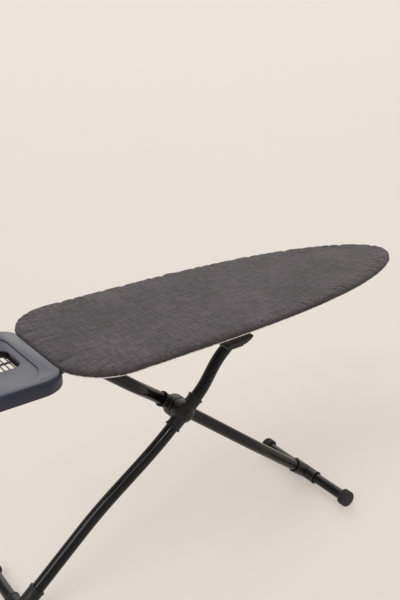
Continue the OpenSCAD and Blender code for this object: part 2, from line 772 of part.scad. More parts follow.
module sliding_leg_fork() {
    inner = lug_w / 2 + 0.8;
    color(soft_black) leg_frame(-1) translate([-upper_arm, 0, 0]) difference() {
        union() {
            top_plug();
            for (side = [-1, 1]) {
                low = side < 0 ? -inner - fork_t : inner;
                cross_cylinder(eye_r - 3, low, low + fork_t);
                block([0, low, -9], [tube_top - 4, low + fork_t, 9]);
            }
        }
        cross_cylinder(pin_r + pin_gap, -eye_w, eye_w);
    }
}

// The hub's boss: a drum between the legs that closes in a low dome beyond the tube
boss_r = hub_d / 2;
dome = leg_r + hub_wall + 4;
hub_out = leg_side + dome * sin(60);
recess_r = boss_r * cos(60) - 2;

module hub_boss() {
    rotate([90, 0, 0]) rotate_extrude() polygon(concat([[0, hub_play], [boss_r, hub_play]],
        [for (turn = [0 : 12 : 60]) [boss_r * cos(turn), leg_side + dome * sin(turn)]], [[0, hub_out]]));
}

// A moulded shell around the leg, whose boss turns against the other leg's boss
module hub_shell(side) {
    sleeve_r = leg_r + hub_wall;
    color(soft_black) leg_frame(side) difference() {
        union() {
            translate([0, side * leg_side, 0]) {
                long_cylinder(sleeve_r, -hub_len / 2, hub_len / 2);
                for (end = [-1, 1]) long_cylinder(sleeve_r + 1.8, end * hub_len / 2 - 3, end * hub_len / 2 + 3);
            }
            rotate([side < 0 ? 0 : 180, 7.5, 0]) hub_boss();
        }
        translate([0, side * leg_side, 0]) long_cylinder(leg_r + seat_gap, -hub_len, hub_len);
        cross_cylinder(bolt_r + pin_gap, -hub_out - 1, hub_out + 1);
        if (side < 0) cross_cylinder(recess_r, -hub_out - 1, -leg_side - leg_r - 0.8);
    }
}

module fixed_hub_shell() {
    hub_shell(1);
}

module sliding_hub_shell() {
    hub_shell(-1);
}

nut_h = 3;
nut_y = leg_side + leg_r + 1;

module hub_bolt() {
    head_h = 4;
    color(zinc) leg_frame(1) {
        cross_cylinder(bolt_r, -nut_y - nut_h - 0.4, hub_out + 1);
        cross_cylinder(bolt_r + 6, hub_out + 0.2, hub_out + 0.2 + head_h);
    }
}

module hub_washer() {
    color(nylon_white) leg_frame(1) difference() {
        cross_cylinder(boss_r - 6, -hub_play + 0.2, hub_play - 0.2);
        cross_cylinder(bolt_r + pin_gap, -2, 2);
    }
}

module hub_nut() {
    color(zinc) leg_frame(1) difference() {
        translate([0, -nut_y, 0]) rotate([90, 0, 0]) cylinder(r = bolt_r + 5, h = nut_h, $fn = 6);
        cross_cylinder(bolt_r + pin_gap, -nut_y - nut_h - 1, -nut_y + 1);
    }
}

// A low hollow dome pressed into the near boss, over the nut
module hub_cap() {
    rim_r = recess_r + 1.6;
    inner = nut_y + nut_h + 0.7;
    top = leg_side + dome + 2;
    skirt_r = recess_r - 0.2;
    near = hub_out + 0.2;
    color(soft_black) leg_frame(-1) rotate([90, 0, 0]) rotate_extrude()
        polygon(concat([[0, inner], [bolt_r + 5.8, inner], [bolt_r + 5.8, near - 1.2], [skirt_r, near - 1.2],
            [skirt_r, near], [rim_r, near]],
            [for (turn = [15 : 15 : 90]) [rim_r * cos(turn), near + 0.6 + (top - near - 0.6) * sin(turn)]]));
}

// ---- Feet ----

foot_bore_r = foot_d / 2 - leg_wall;
cap_seat = 5;
bar_half = foot_len / 2 - cap_seat;

module leg_tee(side) {
    color(soft_black) leg_frame(side) difference() {
        union() {
            translate([lower_arm, 0, 0]) cross_cylinder(foot_d / 2 + tee_wall, -tee_len / 2, tee_len / 2);
            long_cylinder(leg_r + tee_wall - 0.5, lower_arm - tube_end - 46, lower_arm);
        }
        translate([lower_arm, 0, 0]) cross_cylinder(foot_d / 2 + seat_gap, -tee_len, tee_len);
        long_cylinder(leg_r + seat_gap, lower_arm - tube_end - 60, lower_arm - tube_end + 1);
        translate([tee_screw, 0, -leg_r - 10]) cylinder(r = screw_r + seat_gap, h = 14);
    }
}

module fixed_leg_tee() { leg_tee(1); }

module sliding_leg_tee() { leg_tee(-1); }

module foot_tube(side) {
    color(gloss_black) leg_frame(side) translate([lower_arm, 0, 0]) difference() {
        cross_cylinder(foot_d / 2, -bar_half, bar_half);
        cross_cylinder(foot_bore_r, -bar_half - 1, bar_half + 1);
    }
}

module fixed_foot_tube() { foot_tube(1); }

module sliding_foot_tube() { foot_tube(-1); }

// Rubber caps with a flat sole, one on each end of the foot tube
module foot_caps(side) {
    foot_x = hub_x + side * lower_arm * cos(leg_angle);
    color(rubber_black) translate([foot_x, 0, foot_z]) for (end = [-1, 1])
        mirror([0, end < 0 ? 1 : 0, 0]) difference() {
            union() {
                cross_cylinder(cap_d / 2, foot_len / 2 - cap_w, foot_len / 2 - 3);
                cross_cylinder(cap_d / 2 - 3, foot_len / 2 - cap_w - 3, foot_len / 2);
            }
            cross_cylinder(foot_d / 2 + seat_gap, 0, bar_half + seat_gap);
            block([-cap_d, foot_len / 2 - cap_w - 5, -cap_d], [cap_d, foot_len / 2 + 1, -foot_z]);
        }
}

module fixed_foot_caps() { foot_caps(1); }

module sliding_foot_caps() { foot_caps(-1); }

module leg_screws(side) {
    socket_r = leg_r + tee_wall - 0.5;
    color(zinc) leg_frame(side) {
        translate([-top_screw, 0, -leg_r]) rotate([180, 0, 0]) screw(8);
        translate([tee_screw, 0, -socket_r]) rotate([180, 0, 0]) screw(8);
    }
}

module fixed_leg_screws() { leg_screws(1); }

module sliding_leg_screws() { leg_screws(-1); }

cover();
underlay();
deck_mesh();
deck_rim();
tail_brace();
mid_brace();
nose_brace();
slide_rail();
rail_screws();
pivot_bracket();
pivot_pin();
tray_shell();
window_trim();
iron_grid();
near_carrier_tube();
far_carrier_tube();
carrier_clamps();
carrier_plugs();
underside_screws();
release_lever();
lever_shaft();
latch_pawl();
lever_spring();
shaft_clips();
fixed_leg_tube();
fixed_leg_eye();
fixed_hub_shell();
hub_bolt();
hub_washer();
hub_nut();
fixed_leg_tee();
fixed_foot_tube();
fixed_foot_caps();
fixed_leg_screws();
sliding_leg_tube();
sliding_leg_fork();
sliding_hub_shell();
hub_cap();
sliding_leg_tee();
sliding_foot_tube();
sliding_foot_caps();
sliding_leg_screws();
carriage();
carriage_pin();
height_bar();
bar_rivets();
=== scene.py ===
import math

import bmesh
import bpy
from mathutils import Matrix, Vector


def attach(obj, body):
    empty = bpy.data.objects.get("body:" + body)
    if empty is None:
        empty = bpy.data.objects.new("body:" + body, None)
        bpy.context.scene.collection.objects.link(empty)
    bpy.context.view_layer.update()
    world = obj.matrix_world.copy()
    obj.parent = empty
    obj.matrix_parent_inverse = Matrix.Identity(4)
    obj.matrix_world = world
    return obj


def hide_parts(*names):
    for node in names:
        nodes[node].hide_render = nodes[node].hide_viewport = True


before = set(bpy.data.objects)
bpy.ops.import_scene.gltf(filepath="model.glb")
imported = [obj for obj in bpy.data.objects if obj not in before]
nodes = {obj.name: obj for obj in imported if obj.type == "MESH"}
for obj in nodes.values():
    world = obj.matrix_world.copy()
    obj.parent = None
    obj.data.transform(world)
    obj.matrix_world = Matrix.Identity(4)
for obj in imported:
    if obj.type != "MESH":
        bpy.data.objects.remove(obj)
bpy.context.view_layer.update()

# ---------------------------------------------------------------------------
# Studio: a pale seamless floor, three soft lights and the camera, which looks
# down at the board from beyond its tray's near corner, at about head height.

FLOOR_RADIUS = 60
FLOOR_GAP = 0.0005
AZIMUTH = math.radians(-36.97)
ELEVATION = math.radians(22.954)
LENS = 46.59
CAMERA_PLACE = (-1.116, -1.557, 1.598)


def linear(code):
    """An sRGB hex colour as the linear RGBA that shaders take."""
    parts = [int(code[i:i + 2], 16) / 255 for i in (1, 3, 5)]
    return tuple(p / 12.92 if p <= 0.04045 else ((p + 0.055) / 1.055) ** 2.4 for p in parts) + (1,)


def add(tree, kind, inputs=None, **settings):
    """Adds a node, sets its settings, and fills its inputs with values or with other nodes' outputs."""
    made = tree.nodes.new(kind)
    for name, value in settings.items():
        setattr(made, name, value)
    for name, value in (inputs or {}).items():
        if isinstance(value, bpy.types.NodeSocket):
            tree.links.new(value, made.inputs[name])
        else:
            made.inputs[name].default_value = value
    return made


def start_material(name):
    """An empty node material and its tree, with the Object coordinates that its patterns read."""
    material = bpy.data.materials.new(name)
    material.use_nodes = True
    tree = material.node_tree
    tree.nodes.clear()
    return material, tree, add(tree, "ShaderNodeTexCoord").outputs["Object"]


def finish_material(tree, **inputs):
    """Ends a material in one Principled shader."""
    shader = add(tree, "ShaderNodeBsdfPrincipled", {k.replace("_", " "): v for k, v in inputs.items()})
    add(tree, "ShaderNodeOutputMaterial", {"Surface": shader.outputs["BSDF"]})


def ramp(tree, factor, stops):
    """A colour ramp with (place, hex colour) stops."""
    made = add(tree, "ShaderNodeValToRGB", {"Fac": factor})
    elements = made.color_ramp.elements
    while len(elements) < len(stops):
        elements.new(0.5)
    for element, (place, code) in zip(elements, stops):
        element.position = place
        element.color = linear(code)
    return made.outputs["Color"]


# Matt acrylic studio floor, lit a little from below so that shadows stay faint, with a slight mottle
floor_paint, tree, place = start_material("matt_studio_floor")
mottle = add(tree, "ShaderNodeTexNoise", {"Vector": place, "Scale": 1.4, "Detail": 2.0}).outputs["Fac"]
acrylic = ramp(tree, mottle, [(0.3, "#ada7a0"), (0.7, "#aea8a1")])
finish_material(tree, Base_Color=acrylic, Roughness=0.9, Emission_Color=linear("#e9e0d6"),
                Emission_Strength=0.46)

bpy.ops.object.select_all(action="DESELECT")
bpy.ops.mesh.primitive_circle_add(vertices=64, radius=FLOOR_RADIUS, fill_type="NGON",
                                  location=(0, 0, -FLOOR_GAP))
floor = bpy.context.object
floor.name = "studio_floor"
floor.data.materials.append(floor_paint)

world = bpy.data.worlds.new("studio_air")
world.use_nodes = True
background = world.node_tree.nodes["Background"]
background.inputs["Color"].default_value = linear("#fbf7f2")
background.inputs["Strength"].default_value = 0.56
bpy.context.scene.world = world
bpy.context.scene.view_settings.view_transform = "Standard"


def soft_light(name, towards, spread, strength):
    """Wide, even light that comes from a direction, so that the floor stays even to the horizon."""
    light = bpy.data.lights.new(name, "SUN")
    light.angle = math.radians(spread)
    light.energy = strength
    holder = bpy.data.objects.new(name, light)
    bpy.context.scene.collection.objects.link(holder)
    holder.rotation_euler = Vector(towards).to_track_quat("Z", "Y").to_euler()


soft_light("key_light", (-0.85, -0.15, 1.0), 34, 1.0)
soft_light("back_light", (0.55, 0.85, 0.62), 52, 0.9)
soft_light("strip_light", (-0.75, -0.55, 0.9), 5, 0.16)

camera_data = bpy.data.cameras.new("camera")
camera_data.lens = LENS
camera_data.sensor_width = 36
camera_data.clip_end = 200
camera = bpy.data.objects.new("camera", camera_data)
bpy.context.scene.collection.objects.link(camera)
camera.location = CAMERA_PLACE
camera.rotation_euler = (math.pi / 2 - ELEVATION, 0, AZIMUTH)
bpy.context.scene.camera = camera

# ---------------------------------------------------------------------------
# Deck frame: a pressed steel channel bent round the deck's outline, and the
# perforated steel sheet welded on top of it. Both have a pale powder coat.


def bump(tree, height, distance, strength=1.0, below=None):
    """A bump of the given height in metres, on top of another bump where one is given."""
    inputs = {"Height": height, "Distance": distance, "Strength": strength}
    if below is not None:
        inputs["Normal"] = below
    return add(tree, "ShaderNodeBump", inputs).outputs["Normal"]


def dress(material, *names):
    """Gives CAD nodes their finish."""
    for name in names:
        mesh = nodes[name].data
        mesh.materials.clear()
        mesh.materials.append(material)


# Powder coat: pale grey, satin, with the faint orange peel that the melted powder leaves
powder_coat, tree, place = start_material("pale_powder_coat")
peel = add(tree, "ShaderNodeTexNoise", {"Vector": place, "Scale": 420.0, "Detail": 2.0}).outputs["Fac"]
haze = add(tree, "ShaderNodeTexNoise", {"Vector": place, "Scale": 9.0, "Detail": 3.0}).outputs["Fac"]
finish_material(tree, Base_Color=ramp(tree, haze, [(0.3, "#e4e2db"), (0.7, "#efeee8")]), Roughness=0.42,
                Normal=bump(tree, peel, 0.0002, 0.6))
dress(powder_coat, "deck_rim", "deck_mesh")

# ---------------------------------------------------------------------------
# Braces, latch parts, pins and screws: zinc plated steel, pressed, turned or
# cut, left bare under the board. The plating has a fine grain and dull spots.


def stretched(tree, place, scale):
    """Coordinates scaled by a different amount along each axis."""
    return add(tree, "ShaderNodeMapping", {"Vector": place, "Scale": scale}).outputs["Vector"]


zinc_plate, tree, place = start_material("zinc_plated_steel")
grain = add(tree, "ShaderNodeTexNoise", {"Vector": stretched(tree, place, (60, 900, 60)), "Scale": 1.0,
                                         "Detail": 3.0}).outputs["Fac"]
spots = add(tree, "ShaderNodeTexVoronoi", {"Vector": place, "Scale": 110.0},
            feature="SMOOTH_F1").outputs["Distance"]
dull = add(tree, "ShaderNodeMapRange", {"Value": spots, "From Min": 0.0, "From Max": 0.8, "To Min": 0.26,
                                        "To Max": 0.42}).outputs["Result"]
finish_material(tree, Base_Color=ramp(tree, grain, [(0.25, "#9fa2a6"), (0.75, "#bfc2c4")]), Metallic=1.0,
                Roughness=dull, Normal=bump(tree, grain, 0.0001, 0.4))
dress(zinc_plate, "tail_brace", "mid_brace", "nose_brace", "rail_screws", "pivot_pin", "underside_screws",
      "lever_shaft", "latch_pawl", "lever_spring", "hub_bolt", "hub_nut", "fixed_leg_screws",
      "sliding_leg_screws", "carriage_pin", "height_bar", "bar_rivets")

# ---------------------------------------------------------------------------
# Slide rail, pivot bracket, tray carriers and foot tubes: mild steel under
# stoved gloss black enamel, which pools a little and mirrors the lights.

enamel, tree, place = start_material("gloss_black_enamel")
flow = add(tree, "ShaderNodeTexNoise", {"Vector": place, "Scale": 55.0, "Detail": 2.0}).outputs["Fac"]
rub = add(tree, "ShaderNodeTexNoise", {"Vector": place, "Scale": 16.0, "Detail": 6.0}).outputs["Fac"]
smear = add(tree, "ShaderNodeMapRange", {"Value": rub, "From Min": 0.35, "From Max": 0.75, "To Min": 0.16,
                                         "To Max": 0.27}).outputs["Result"]
finish_material(tree, Base_Color=ramp(tree, rub, [(0.3, "#060608"), (0.7, "#0b0b0d")]), Roughness=smear,
                Specular_IOR_Level=0.16, Coat_Weight=0.28, Coat_Roughness=0.03,
                Normal=bump(tree, flow, 0.0004, 0.35))
dress(enamel, "slide_rail", "pivot_bracket", "near_carrier_tube", "far_carrier_tube", "fixed_foot_tube",
      "sliding_foot_tube")

# ---------------------------------------------------------------------------
# Carriage, shaft clips and hub washer: natural nylon 6, injection moulded,
# slightly waxy and cloudy.

nylon, tree, place = start_material("natural_nylon")
cloud = add(tree, "ShaderNodeTexNoise", {"Vector": place, "Scale": 60.0, "Detail": 3.0}).outputs["Fac"]
finish_material(tree, Base_Color=ramp(tree, cloud, [(0.3, "#d8d4c6"), (0.7, "#e6e3d8")]), Roughness=0.38,
                Subsurface_Weight=0.15, Subsurface_Scale=0.004, Normal=bump(tree, cloud, 0.0001, 0.3))
dress(nylon, "carriage", "shaft_clips", "hub_washer")

# ---------------------------------------------------------------------------
# Moulded black fittings: eye and fork at the legs' tops, clamps, plugs and
# the window's lining and bars. Polypropylene with a fine spark-eroded texture,
# satin, and duller in patches where it has been handled.

black_plastic, tree, place = start_material("spark_textured_polypropylene")
spark = add(tree, "ShaderNodeTexNoise", {"Vector": place, "Scale": 900.0, "Detail": 2.0}).outputs["Fac"]
wear = add(tree, "ShaderNodeTexNoise", {"Vector": place, "Scale": 35.0, "Detail": 4.0}).outputs["Fac"]
sheen = add(tree, "ShaderNodeMapRange", {"Value": wear, "From Min": 0.3, "From Max": 0.7, "To Min": 0.36,
                                         "To Max": 0.5}).outputs["Result"]
finish_material(tree, Base_Color=ramp(tree, wear, [(0.3, "#0e0e10"), (0.7, "#151517")]), Roughness=sheen,
                Specular_IOR_Level=0.38, Normal=bump(tree, spark, 0.0001, 0.5))
dress(black_plastic, "fixed_leg_eye", "sliding_leg_fork", "carrier_clamps", "carrier_plugs", "window_trim",
      "iron_grid")

# ---------------------------------------------------------------------------
# Leg tubes: two round steel tubes, each bowed sideways at the hub so that
# they pass each other and meet the centre plane again at both ends.

# Lengths along a leg are taken from the hub's centre, up to the deck or down to the foot
LEG_ANGLE = math.radians(39.6)
UPPER_ARM = 0.4082
LOWER_ARM = 0.682283
TUBE_TOP_GAP = 0.030
TUBE_FOOT_GAP = 0.024
LEG_RADIUS = 0.018
LEG_WALL = 0.0016
LEG_SIDE = 0.0255
BEND_START = 0.058
BEND_TOP = 0.146
BEND_LOW = 0.364
RINGS_ABOVE = 14
RINGS_BELOW = 22
HUB = Vector((-0.019476, 0, 0.459404))


def only(obj):
    """Makes one object the only selected one, in object mode."""
    if bpy.context.mode != "OBJECT":
        bpy.ops.object.mode_set(mode="OBJECT")
    bpy.ops.object.select_all(action="DESELECT")
    obj.select_set(True)
    bpy.context.view_layer.objects.active = obj


def new_piece(add_shape, name, **where):
    """Adds a primitive with nothing else selected, named for the piece it will be."""
    if bpy.context.object and bpy.context.mode != "OBJECT":
        bpy.ops.object.mode_set(mode="OBJECT")
    bpy.ops.object.select_all(action="DESELECT")
    add_shape(**where)
    piece = bpy.context.object
    piece.name = name
    piece.data.name = name
    return piece


def use(piece, kind, **settings):
    """Adds a modifier and applies it."""
    only(piece)
    made = piece.modifiers.new(kind.lower(), kind)
    for name, value in settings.items():
        setattr(made, name, value)
    bpy.ops.object.modifier_apply(modifier=made.name)


def settle(piece, material, body, smooth=35):
    """Fixes the piece's place in its mesh, and gives it its shading, finish and body."""
    only(piece)
    bpy.ops.object.transform_apply(location=True, rotation=True, scale=True)
    bpy.ops.object.shade_smooth_by_angle(angle=math.radians(smooth))
    piece.data.materials.clear()
    piece.data.materials.append(material)
    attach(piece, body)


def tidy_skin(piece):
    """Merges doubles and turns all faces outwards."""
    only(piece)
    bpy.ops.object.mode_set(mode="EDIT")
    bpy.ops.mesh.select_all(action="SELECT")
    bpy.ops.mesh.remove_doubles(threshold=0.00001)
    bpy.ops.mesh.normals_make_consistent(inside=False)
    bpy.ops.object.mode_set(mode="OBJECT")


def stand_on_leg(piece, side):
    """Turns a piece made along +X with the hub at the origin into its leg's place."""
    only(piece)
    piece.rotation_euler = (0, LEG_ANGLE if side > 0 else math.pi - LEG_ANGLE, 0)
    piece.location = HUB
    bpy.ops.object.transform_apply(location=True, rotation=True, scale=True)


def leg_offset(x):
    """Sideways place of a leg's centre line, at a distance down the leg from the hub."""
    bend = BEND_TOP if x < 0 else BEND_LOW
    share = min(1, max(0, (abs(x) - BEND_START) / bend))
    return LEG_SIDE * (1 + math.cos(math.pi * share)) / 2


def leg_tube(name, side):
    """A tube drawn out ring by ring along the leg's bowed centre line, then given its wall."""
    start = TUBE_TOP_GAP - UPPER_ARM
    end = LOWER_ARM - TUBE_FOOT_GAP
    tube = new_piece(bpy.ops.mesh.primitive_circle_add, name, vertices=48, radius=LEG_RADIUS,
                     fill_type="NOTHING", location=(start, 0, 0), rotation=(0, math.pi / 2, 0))
    bpy.ops.object.transform_apply(location=True, rotation=True, scale=True)
    places = [start + 0.008, start + 0.05, -BEND_START - BEND_TOP - 0.004]
    places += [-BEND_START - BEND_TOP * i / RINGS_ABOVE for i in range(RINGS_ABOVE, -1, -1)]
    places += [BEND_START + BEND_LOW * i / RINGS_BELOW for i in range(RINGS_BELOW + 1)]
    places += [end - 0.12, end - 0.04, end]
    bpy.ops.object.mode_set(mode="EDIT")
    bpy.ops.mesh.select_all(action="SELECT")
    x, y = start, 0.0
    for next_x in places:
        next_y = side * leg_offset(next_x)
        bpy.ops.mesh.extrude_edges_move(TRANSFORM_OT_translate={"value": (next_x - x, next_y - y, 0)})
        x, y = next_x, next_y
    bpy.ops.object.mode_set(mode="OBJECT")
    tidy_skin(tube)
    use(tube, "SOLIDIFY", thickness=LEG_WALL, offset=-1)
    stand_on_leg(tube, side)
    return tube


for body, side in (("fixed_leg", 1), ("sliding_leg", -1)):
    tube = leg_tube(body + "_bowed_tube", side)
    settle(tube, enamel, body, 30)
    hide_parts(body + "_tube")

# ---------------------------------------------------------------------------
# Hub: a moulded shell round each leg, with a drum that turns against the
# other leg's drum. The near one closes in a dome with a pressed-in cap.

SLEEVE_RADIUS = 0.0212
SLEEVE_LENGTH = 0.104
COLLAR = 0.002
BORE_PLAY = 0.00015
BORE_REACH = 0.09
DRUM_RADIUS = 0.033
DRUM_GAP = 0.001
DOME_HEIGHT = 0.0252
DOME_TOP = LEG_SIDE + DOME_HEIGHT * math.sin(math.radians(60))
CAP_RADIUS = 0.0161
CAP_PLAY = 0.0006
CAP_SEAT = DOME_TOP - 0.0012
CAP_EDGE = DOME_TOP + 0.0008
CAP_RISE = 0.0044


def turned(name, profile, middle):
    """A profile of (radius, place along Y) points, spun round a line along Y through the middle point."""
    mesh = bpy.data.meshes.new(name)
    points = [(middle[0] + radius, y, middle[1]) for radius, y in profile]
    mesh.from_pydata(points, [(i, i + 1) for i in range(len(points) - 1)], [])
    piece = bpy.data.objects.new(name, mesh)
    bpy.context.scene.collection.objects.link(piece)
    only(piece)
    bpy.ops.object.mode_set(mode="EDIT")
    bpy.ops.mesh.select_all(action="SELECT")
    bpy.ops.mesh.spin(steps=64, angle=2 * math.pi, center=(middle[0], 0, middle[1]), axis=(0, 1, 0))
    bpy.ops.object.mode_set(mode="OBJECT")
    tidy_skin(piece)
    return piece


def rod(name, radius, start, end, sides=64):
    """A round bar between two points."""
    start, end = Vector(start), Vector(end)
    turn = (end - start).to_track_quat("Z", "Y").to_euler()
    piece = new_piece(bpy.ops.mesh.primitive_cylinder_add, name, vertices=sides, radius=radius,
                      depth=(end - start).length, location=(start + end) / 2, rotation=turn)
    bpy.ops.object.transform_apply(location=True, rotation=True, scale=True)
    return piece


def joined(name, *pieces):
    """Several pieces made one mesh."""
    only(pieces[0])
    for piece in pieces[1:]:
        piece.select_set(True)
    bpy.ops.object.join()
    pieces[0].name = name
    return pieces[0]


def cut(piece, *tools):
    """Takes the tools' shapes out of the piece, and removes the tools."""
    for tool in tools:
        use(piece, "BOOLEAN", operation="DIFFERENCE", solver="EXACT", object=tool)
        bpy.data.objects.remove(tool)


def moulded(piece, grain_size, rounds):
    """Melts overlapping solids into one skin with soft inner corners, as a moulding has."""
    use(piece, "REMESH", mode="VOXEL", voxel_size=grain_size)
    use(piece, "SMOOTH", factor=0.5, iterations=rounds)


def hub_shell(name, side):
    """A collared sleeve and a domed drum, moulded in one, bored for the leg and seated for the cap."""
    middle = side * LEG_SIDE
    half = SLEEVE_LENGTH / 2
    parts = [rod(name, SLEEVE_RADIUS, (-half, middle, 0), (half, middle, 0))]
    for end in (-1, 1):
        parts.append(rod("collar", SLEEVE_RADIUS + COLLAR, (end * (half + 0.003), middle, 0),
                         (end * (half - 0.004), middle, 0)))
    profile = [(0, side * DRUM_GAP), (DRUM_RADIUS, side * DRUM_GAP), (DRUM_RADIUS, middle)]
    for step in range(1, 6):
        turn = math.radians(12 * step)
        profile.append((DRUM_RADIUS * math.cos(turn), side * (LEG_SIDE + DOME_HEIGHT * math.sin(turn))))
    profile.append((0, side * DOME_TOP))
    parts.append(turned("drum", profile, (0, 0)))
    shell = joined(name, *parts)
    moulded(shell, grain_size=0.0011, rounds=7)
    cut(shell, rod("bore", LEG_RADIUS + BORE_PLAY, (-BORE_REACH, middle, 0), (BORE_REACH, middle, 0)))
    if side < 0:
        cut(shell, rod("seat", CAP_RADIUS + CAP_PLAY, (0, -DOME_TOP - 0.01, 0), (0, -CAP_SEAT, 0)))
    stand_on_leg(shell, side)
    return shell


for body, side in (("fixed_leg", 1), ("sliding_leg", -1)):
    shell = hub_shell(body + "_hub_housing", side)
    settle(shell, black_plastic, body, 40)
    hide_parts(body[:-4] + "_hub_shell")

cap_profile = [(0, -CAP_SEAT), (CAP_RADIUS - 0.0008, -CAP_SEAT), (CAP_RADIUS, -CAP_SEAT - 0.0006),
               (CAP_RADIUS, -CAP_EDGE)]
for step in range(1, 10):
    turn = math.radians(10 * step)
    cap_profile.append((CAP_RADIUS * math.cos(turn), -CAP_EDGE - CAP_RISE * math.sin(turn)))
cap = turned("hub_dome_cap", cap_profile, (0, 0))
stand_on_leg(cap, -1)
settle(cap, black_plastic, "sliding_leg", 40)
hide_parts("hub_cap")

# ---------------------------------------------------------------------------
# Tees: moulded sockets that join each leg's lower end to its cross foot.

FOOT_RADIUS = 0.0165
TEE_LENGTH = 0.108
TEE_REACH = 0.0705


def tee(name, side):
    """A socket for the leg on a sleeve for the foot tube, with a lip round each mouth."""
    foot = LOWER_ARM
    half = TEE_LENGTH / 2
    socket = foot - TEE_REACH
    parts = [rod(name, FOOT_RADIUS + 0.0045, (foot, -half, 0), (foot, half, 0)),
             rod("socket", LEG_RADIUS + 0.004, (socket, 0, 0), (foot, 0, 0)),
             rod("lip", LEG_RADIUS + 0.0052, (socket - 0.002, 0, 0), (socket + 0.005, 0, 0))]
    for end in (-1, 1):
        parts.append(rod("lip", FOOT_RADIUS + 0.0058, (foot, end * half, 0), (foot, end * (half - 0.006), 0)))
    piece = joined(name, *parts)
    moulded(piece, grain_size=0.0013, rounds=8)
    cut(piece, rod("foot_bore", FOOT_RADIUS + BORE_PLAY, (foot, -0.08, 0), (foot, 0.08, 0)),
        rod("leg_bore", LEG_RADIUS + BORE_PLAY, (socket - 0.02, 0, 0), (foot - 0.0235, 0, 0)))
    stand_on_leg(piece, side)
    return piece


for body, side in (("fixed_leg", 1), ("sliding_leg", -1)):
    piece = tee(body + "_socket_tee", side)
    settle(piece, black_plastic, body, 40)
    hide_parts(body + "_tee")

# ---------------------------------------------------------------------------
# Foot caps: black rubber cups pushed over the foot tubes' ends, with grip
# grooves round them and a flat worn where they stand on the floor.

FOOT_Z = 0.0245
HALF_FOOT = 0.202
CAP_OUT = 0.026
GROOVE_DEPTH = 0.0011

# Moulded rubber: black and matt, scuffed a little paler and duller in patches
rubber, tree, place = start_material("moulded_black_rubber")
scuff = add(tree, "ShaderNodeTexNoise", {"Vector": place, "Scale": 90.0, "Detail": 6.0}).outputs["Fac"]
worn = add(tree, "ShaderNodeMapRange", {"Value": scuff, "From Min": 0.3, "From Max": 0.7, "To Min": 0.55,
                                        "To Max": 0.78}).outputs["Result"]
finish_material(tree, Base_Color=ramp(tree, scuff, [(0.35, "#151515"), (0.72, "#232322")]), Roughness=worn,
                Normal=bump(tree, scuff, 0.0003, 0.5))


def foot_caps(name, foot_x):
    """The two grooved cups of one foot, each trimmed flat at the floor."""
    cups = []
    for end in (-1, 1):
        profile = [(0, 0.195), (0.0168, 0.195), (0.0168, 0.1712), (0.0185, 0.171), (0.0225, 0.1722),
                   (0.0252, 0.1742), (CAP_OUT, 0.1768)]
        for groove in (0.1815, 0.1865, 0.1915):
            profile += [(CAP_OUT, groove - 0.0014), (CAP_OUT - GROOVE_DEPTH, groove - 0.0006),
                        (CAP_OUT - GROOVE_DEPTH, groove + 0.0006), (CAP_OUT, groove + 0.0014)]
        profile += [(CAP_OUT, 0.1962), (0.0252, 0.1992), (0.0232, 0.2012), (0.0195, HALF_FOOT),
                    (0, HALF_FOOT)]
        cup = turned("cup", [(radius, end * y) for radius, y in profile], (foot_x, FOOT_Z))
        bpy.ops.object.mode_set(mode="EDIT")
        bpy.ops.mesh.select_all(action="SELECT")
        bpy.ops.mesh.bisect(plane_co=(0, 0, 0), plane_no=(0, 0, 1), use_fill=True, clear_inner=True)
        bpy.ops.object.mode_set(mode="OBJECT")
        cups.append(cup)
    return joined(name, *cups)


for body, side in (("fixed_leg", 1), ("sliding_leg", -1)):
    caps = foot_caps(body + "_rubber_cups", HUB.x + side * LOWER_ARM * math.cos(LEG_ANGLE))
    settle(caps, rubber, body, 30)
    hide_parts(body[:-4] + "_foot_caps")

# ---------------------------------------------------------------------------
# Release lever: a moulded paddle on the latch shaft, thickest in its middle.
# Five deep finger grooves cross its underside, and those nearer the shaft are
# narrower at the mouth than inside.

LEVER_X = -0.010
SHAFT_Z = 0.7322
LEVER_OUT = -0.213
LEVER_WIDTH = 0.042

# The grooves' centre lines lie FINGER_DROP below the shaft's, and a hair lower towards the tip
FINGER_RADIUS = 0.0022
FINGER_DROP = 0.0062
FINGER_SLOPE = 0.0001
FINGER_FROM = -0.24
FINGER_TO = -0.15

# Rollers of (place along X, height, radius, set in at each side) whose hull is the paddle
rollers = [(0.0, 0.0, 0.0066, 0.0006), (0.018, -0.0010, 0.0078, 0.0002), (0.0378, -0.0010, 0.0078, 0.0),
           (0.054, 0.0018, 0.0066, 0.0012), (0.068, 0.0046, 0.0052, 0.0034), (0.0792, 0.0068, 0.0036, 0.0066)]
bars = [rod("roller", radius, (LEVER_X + x, LEVER_OUT + inset, SHAFT_Z + z),
            (LEVER_X + x, LEVER_OUT + LEVER_WIDTH - 1.4 * inset, SHAFT_Z + z))
        for x, z, radius, inset in rollers]
lever = joined("release_paddle", *bars)
bpy.ops.object.mode_set(mode="EDIT")
bpy.ops.mesh.select_all(action="SELECT")
bpy.ops.mesh.convex_hull()
bpy.ops.object.mode_set(mode="OBJECT")
grooves = []
for x in (0.022, 0.030, 0.038, 0.046, 0.054):
    z = SHAFT_Z - FINGER_DROP - FINGER_SLOPE * x
    grooves.append(rod("finger_groove", FINGER_RADIUS, (LEVER_X + x, FINGER_FROM, z),
                       (LEVER_X + x, FINGER_TO, z), 24))
cut(lever, *grooves)
moulded(lever, grain_size=0.0008, rounds=5)
settle(lever, black_plastic, "lever", 50)
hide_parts("release_lever")

# ---------------------------------------------------------------------------
# Felt underlay: a slab of needled felt cut to the deck's shape, its top edge
# pressed round by the cover that is pulled over it.

